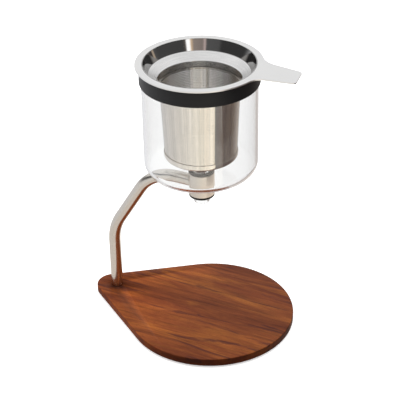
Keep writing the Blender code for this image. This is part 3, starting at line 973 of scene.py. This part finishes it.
def bend_handle(shape):
    """Bend the handle down: a soft bend, then a straight slope."""
    for i in range(CORNER_STEPS + 1):
        everything = shape.verts[:] + shape.edges[:] + shape.faces[:]
        line = (HANDLE_BEND + HANDLE_BEND_LENGTH * i / CORNER_STEPS, 0.0, 0.0)
        bmesh.ops.bisect_plane(shape, geom=everything, plane_co=line, plane_no=(1.0, 0.0, 0.0))
    for vertex in shape.verts:
        past = max(vertex.co.x - HANDLE_BEND, 0.0)
        bent = min(past, HANDLE_BEND_LENGTH)
        drop = bent**2 / (2 * HANDLE_BEND_LENGTH) + past - bent
        vertex.co.z -= math.tan(HANDLE_SLOPE) * drop


def flange(finish):
    """Flat ring and handle in one plate, with softened edges."""
    low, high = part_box("filter_flange")
    radius = (high.y - low.y) / 2
    side = handle_side(radius)
    open_angle = math.atan2(side[0][1], side[0][0])
    ring = arc((0.0, 0.0), radius, open_angle, 2 * math.pi - open_angle, ROUND_STEPS)
    outline = list(reversed(side)) + ring[1:-1] + [(x, -y) for x, y in side]
    hole = arc((0.0, 0.0), FLANGE_HOLE_RADIUS, 0.0, 2 * math.pi, ROUND_STEPS)[:-1]
    shape = bmesh.new()
    loops = []
    for points in (outline, hole):
        corners = [shape.verts.new((x, y, high.z - FLANGE_THICKNESS)) for x, y in points]
        loops += [shape.edges.new(pair) for pair in zip(corners, corners[1:] + corners[:1])]
    bmesh.ops.triangle_fill(shape, use_beauty=True, edges=loops)
    raise_faces(shape, shape.faces[:], FLANGE_THICKNESS)
    almost_flat = math.radians(0.5)
    bmesh.ops.dissolve_limit(
        shape, angle_limit=almost_flat, verts=shape.verts, edges=shape.edges
    )
    sharp = math.radians(60)
    edge = [e for e in shape.edges if len(e.link_faces) == 2 and e.calc_face_angle() > sharp]
    bmesh.ops.bevel(
        shape, geom=edge, offset=FLANGE_EDGE_ROUND, segments=2, profile=0.5, affect="EDGES"
    )
    bend_handle(shape)
    turn = Matrix.Rotation(HANDLE_ANGLE, 4, "Z")
    shape.transform(Matrix.Translation((*AXIS, 0.0)) @ turn)
    mesh = finished_mesh("flange_plate", shape, 35)
    add_piece("flange_plate", mesh, "filter", ["filter_flange"], "brushed_steel", finish)


def funnel(polished, brushed):
    """Pressed ring. Its ledge has a brushed finish, the rest is polished."""
    low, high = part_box("filter_funnel")
    flange_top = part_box("filter_flange")[1].z
    ledge_inner_z = high.z - LEDGE_INNER_DROP
    corners = [
        (FUNNEL_TOP_RADIUS, flange_top - FUNNEL_TOP_DROP),
        (LEDGE_OUTER_RADIUS, high.z - LEDGE_OUTER_DROP),
        (LEDGE_INNER_RADIUS, ledge_inner_z),
        (SKIRT_BOTTOM_RADIUS, low.z),
    ]
    inside = rounded_path(corners, FUNNEL_BEND_RADII, BEND_STEPS)
    mesh = turned_mesh("funnel_ring", sheet_outline(inside, FUNNEL_SHEET))
    brushed_from = LEDGE_INNER_RADIUS + LEDGE_INNER_BEND
    brushed_to = LEDGE_OUTER_RADIUS - LEDGE_OUTER_BEND
    for polygon in mesh.polygons:
        x, y, z = polygon.center
        across = math.hypot(x - AXIS.x, y - AXIS.y)
        is_above_skirt = z > ledge_inner_z - LEDGE_FLAT_ROOM
        is_ledge = brushed_from < across < brushed_to and is_above_skirt
        polygon.material_index = 1 if is_ledge else 0
    add_piece("funnel_ring", mesh, "filter", ["filter_funnel"], "polished_steel", polished, brushed)


def cup_sleeve(outside, inside):
    """Pierced sleeve with plain hems and a welded seam at the far side."""
    low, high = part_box("mesh_sleeve")
    pitch = 2 * math.pi / SLEEVE_COLUMNS
    bars = SEAM_HEADING + np.arange(SLEEVE_COLUMNS) * pitch
    angles = np.stack([bars, bars + pitch * SLEEVE_BAR], axis=1).ravel()
    row_pitch = (high.z - low.z - 2 * SLEEVE_HEM) / SLEEVE_ROWS
    bridges = low.z + SLEEVE_HEM + np.arange(SLEEVE_ROWS) * row_pitch
    heights = np.stack([bridges, bridges + row_pitch * SLEEVE_BRIDGE], axis=1).ravel()
    heights = np.concatenate([[low.z], heights, [high.z - SLEEVE_HEM, high.z]])
    solid = np.ones((2 * SLEEVE_COLUMNS, len(heights) - 1), dtype=bool)
    solid[1::2, 2:-1:2] = False
    solid[:SEAM_CELLS] = True
    share = (heights - low.z) / (high.z - low.z)
    radii = SLEEVE_BOTTOM_RADIUS + (half_width("mesh_sleeve") - SLEEVE_BOTTOM_RADIUS) * share
    lines = np.empty((2, len(angles), len(heights), 3))
    for side, inset in enumerate((0.0, SLEEVE_SHEET)):
        lines[side, :, :, 0] = AXIS.x + np.cos(angles)[:, None] * (radii - inset)
        lines[side, :, :, 1] = AXIS.y + np.sin(angles)[:, None] * (radii - inset)
        lines[side, :, :, 2] = heights
    mesh = pierced_mesh("mesh_cup", lines, solid, True)
    add_piece("mesh_cup", mesh, "filter", ["mesh_sleeve"], "mesh_steel", outside, inside)


def cup_ring(finish):
    """Ring around the lower end of the sleeve, with a lip that carries the bottom mesh."""
    low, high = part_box("cup_ring")
    radius = half_width("cup_ring")
    corners = [(CUP_RING_LIP_RADIUS, low.z), (radius, low.z), (radius, high.z)]
    outside = rounded_path(corners, (CUP_RING_CORNER,), BEND_STEPS)
    outline = sheet_outline(outside, CUP_RING_SHEET, has_round_ends=True)
    mesh = turned_mesh("bottom_ring", outline)
    add_piece("bottom_ring", mesh, "filter", ["cup_ring"], "brushed_steel", finish)


def bottom_mesh(finish):
    """Pierced disc that closes the cup, and its plain rim."""
    low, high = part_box("bottom_mesh")
    radius = half_width("bottom_mesh")
    border = radius - DISC_RIM_WIDTH
    count = math.floor(radius / DISC_PITCH) + 1
    bars = np.arange(-count, count) * DISC_PITCH
    edges = np.stack([bars, bars + DISC_PITCH * DISC_BAR], axis=1).ravel()
    middles = (edges[:-1] + edges[1:]) / 2
    across = np.hypot(middles[:, None], middles[None, :])
    is_hole = np.zeros((len(middles), len(middles)), dtype=bool)
    is_hole[1::2, 1::2] = True
    solid = (across < border + DISC_TUCK) & ~(is_hole & (across < border))
    lines = np.empty((2, len(edges), len(edges), 3))
    lines[..., 0] = AXIS.x + edges[:, None]
    lines[..., 1] = AXIS.y + edges
    lines[0, ..., 2] = low.z + DISC_UPPER_SIDE
    lines[1, ..., 2] = low.z + DISC_LOWER_SIDE
    mesh = pierced_mesh("mesh_disc", lines, solid, False)
    add_piece("mesh_disc", mesh, "filter", ["bottom_mesh"], "mesh_steel", finish, finish)

    corners = [(border, low.z), (radius, low.z), (radius, high.z), (border, high.z)]
    outline = rounded_loop(corners, (DISC_RIM_ROUND,) * 4, 2)
    rim = turned_mesh("disc_rim", outline)
    add_piece("disc_rim", rim, "filter", [], "mesh_steel", finish)


def cad_fixings():
    """The hidden fixings are shown as the frame's own solids."""
    zinc = zinc_steel()
    finishes = (
        ("base_screw", zinc),
        ("flat_washer", zinc),
        ("lock_washer", zinc),
        ("tube_insert", brass()),
    )
    for node, finish in finishes:
        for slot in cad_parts[node].material_slots:
            slot.material = finish


# Camera, floor and light


def camera():
    """Long lens, looking down at the front right of the object."""
    lens = bpy.data.cameras.new("camera")
    lens.sensor_width = FILM_WIDTH
    lens.lens = CAMERA_LENS
    lens.clip_end = 20.0
    made = bpy.data.objects.new("camera", lens)
    bpy.context.scene.collection.objects.link(made)
    made.location = CAMERA_PLACE
    aim = CAMERA_LOOK.to_track_quat("-Z", "Y").to_matrix().to_4x4()
    made.rotation_euler = (aim @ Matrix.Rotation(CAMERA_ROLL, 4, "Z")).to_euler()
    bpy.context.scene.camera = made


def floor():
    """Plain pale floor, which only the camera sees."""
    n = material_nodes("pale_floor")
    cloud = n.noise(n.place((2, 2, 2)), detail=2)
    pale = n.mix(cloud, (0.93, 0.93, 0.93), (0.95, 0.95, 0.95))
    finish = n.surface(
        Base_Color=pale,
        Roughness=0.9,
        Specular_IOR_Level=0.0,
        Emission_Color=pale,
        Emission_Strength=0.45,
    )
    mesh = bpy.data.meshes.new("floor")
    corners = [(x * FLOOR_REACH, y * FLOOR_REACH, 0) for x, y in ((-1, -1), (1, -1), (1, 1), (-1, 1))]
    mesh.from_pydata(corners, [], [(0, 1, 2, 3)])
    mesh.materials.append(finish)
    plane = bpy.data.objects.new("floor", mesh)
    bpy.context.scene.collection.objects.link(plane)
    plane.location.z = -FLOOR_DROP
    plane.visible_glossy = False
    plane.visible_diffuse = False
    plane.visible_transmission = False


def paper():
    """Pale paper around the foot of the object, which only shiny pieces see."""
    n = material_nodes("warm_paper")
    from_left = n.maths("MULTIPLY_ADD", n.split(n.place())[0], 2.0, 0.5, clamp=True)
    glow = n.ramp(from_left, [(0.0, (0.75, 0.71, 0.67)), (1.0, (1.03, 0.89, 0.76))])
    finish = n.surface(Base_Color=(0.0, 0.0, 0.0, 1.0), Emission_Color=glow, Emission_Strength=1.0)
    shape = bmesh.new()
    bmesh.ops.create_circle(shape, cap_ends=True, segments=96, radius=PAPER_RADIUS)
    mesh = bpy.data.meshes.new("paper")
    shape.to_mesh(mesh)
    shape.free()
    mesh.materials.append(finish)
    disc = bpy.data.objects.new("paper", mesh)
    bpy.context.scene.collection.objects.link(disc)
    disc.location = (AXIS.x, AXIS.y, -PAPER_DROP)
    disc.visible_camera = False
    disc.visible_diffuse = False
    disc.visible_transmission = False
    disc.visible_shadow = False


def side_lamp():
    """Soft lamp low down at the left, which lights the left edge of the board."""
    lamp = bpy.data.lights.new("side_lamp", "AREA")
    lamp.shape = "RECTANGLE"
    lamp.size, lamp.size_y = LAMP_WIDTH, LAMP_HEIGHT
    lamp.energy = LAMP_WATTS
    made = bpy.data.objects.new("side_lamp", lamp)
    bpy.context.scene.collection.objects.link(made)
    made.location = LAMP_PLACE
    made.rotation_euler = (-made.location).to_track_quat("-Z", "Y").to_euler()
    made.visible_glossy = False
    made.visible_transmission = False


def shiny_surroundings(n, direction):
    """What shiny pieces see: a bright top and backdrop, a dark room behind the camera with a few
    bright windows, a pale card at the left, and pale paper low down with a dark side."""
    x, y, height = n.split(direction)
    is_below_card_top = n.ramp(height, [(0.20, 1.0), (0.28, 0.0)])
    is_card = n.mix(1.0, n.by_heading(x, y, LEFT_CARD), is_below_card_top, "MULTIPLY")
    room = n.mix(is_card, n.by_heading(x, y, ROOM), PALE_WALL)
    is_low = n.ramp(n.maths("MULTIPLY_ADD", height, 2.0, 0.5), [(0.40, 1.0), (0.76, 0.0)])
    is_high = n.ramp(height, [(0.46, 0.0), (0.56, 1.0)])
    walls = n.mix(is_high, n.mix(is_low, room, n.by_heading(x, y, LOW_PAPER)), PALE_WALL)
    is_top = n.ramp(n.dot(direction, TOP_CENTRE), [(0.30, 0.0), (0.46, 1.0)])
    top = n.ramp(height, [(0.52, 0.94), (0.80, 0.96), (0.90, 0.88)])
    return n.mix(is_top, walls, top)


def matte_dome(n, direction):
    """What lights everything matte: a soft dome, brighter on the far side."""
    height = n.split(direction)[2]
    upward = n.maths("MULTIPLY_ADD", height, 0.5, 0.5)
    overhead = n.ramp(upward, [(0.52, 0.08), (0.80, 1.45)])
    far_light = n.spread(n.dot(direction, FAR_SIDE), 0.95, 1.5)
    return n.mix(1.0, overhead, far_light, "MULTIPLY")


def studio():
    """Soft studio surroundings: light after a shiny or a matte surface comes from its own
    surroundings, and the rest is a plain backdrop, a little brighter behind clear glass."""
    scene = bpy.context.scene
    world = bpy.data.worlds.new("studio")
    scene.world = world
    n = Nodes(world)
    world.cycles.sampling_method = "NONE"
    direction = n.add("TexCoord").outputs["Generated"]
    depths = n.add("LightPath").outputs
    after_shiny = n.maths("MINIMUM", depths["Glossy Depth"], 1.0)
    after_matte = n.maths("MINIMUM", depths["Diffuse Depth"], 1.0)
    after_glass = n.maths("MINIMUM", depths["Transmission Depth"], 1.0)
    backdrop = n.mix(after_glass, (1.0, 1.0, 1.0), (1.03, 1.03, 1.03))
    shiny_or_plain = n.mix(after_shiny, backdrop, shiny_surroundings(n, direction))
    seen = n.mix(after_matte, shiny_or_plain, matte_dome(n, direction))
    n.link(seen, n.tree.nodes["Background"].inputs["Color"])

    scene.view_settings.view_transform = "Standard"
    scene.cycles.use_denoising = True
    scene.cycles.max_bounces = 16
    scene.cycles.transmission_bounces = 14
    scene.cycles.glossy_bounces = 8


def main():
    camera()
    floor()
    paper()
    side_lamp()
    studio()
    silicone = black_silicone()
    welded_steel = collar_steel()
    sheet_steel = mesh_steel()
    base_board(hardwood())
    foot_pads(silicone)
    stand_tube(tube_steel())
    tube_weld(welded_steel)
    collar(welded_steel)
    upper_bush(silicone)
    lower_bush(silicone)
    glass_jug(clear_glass())
    rim_ring(silicone)
    flange(plate_steel())
    funnel(polished_steel(), ledge_steel())
    cup_sleeve(sheet_steel, inner_mesh_steel())
    cup_ring(sheet_steel)
    bottom_mesh(sheet_steel)
    cad_fixings()


main()
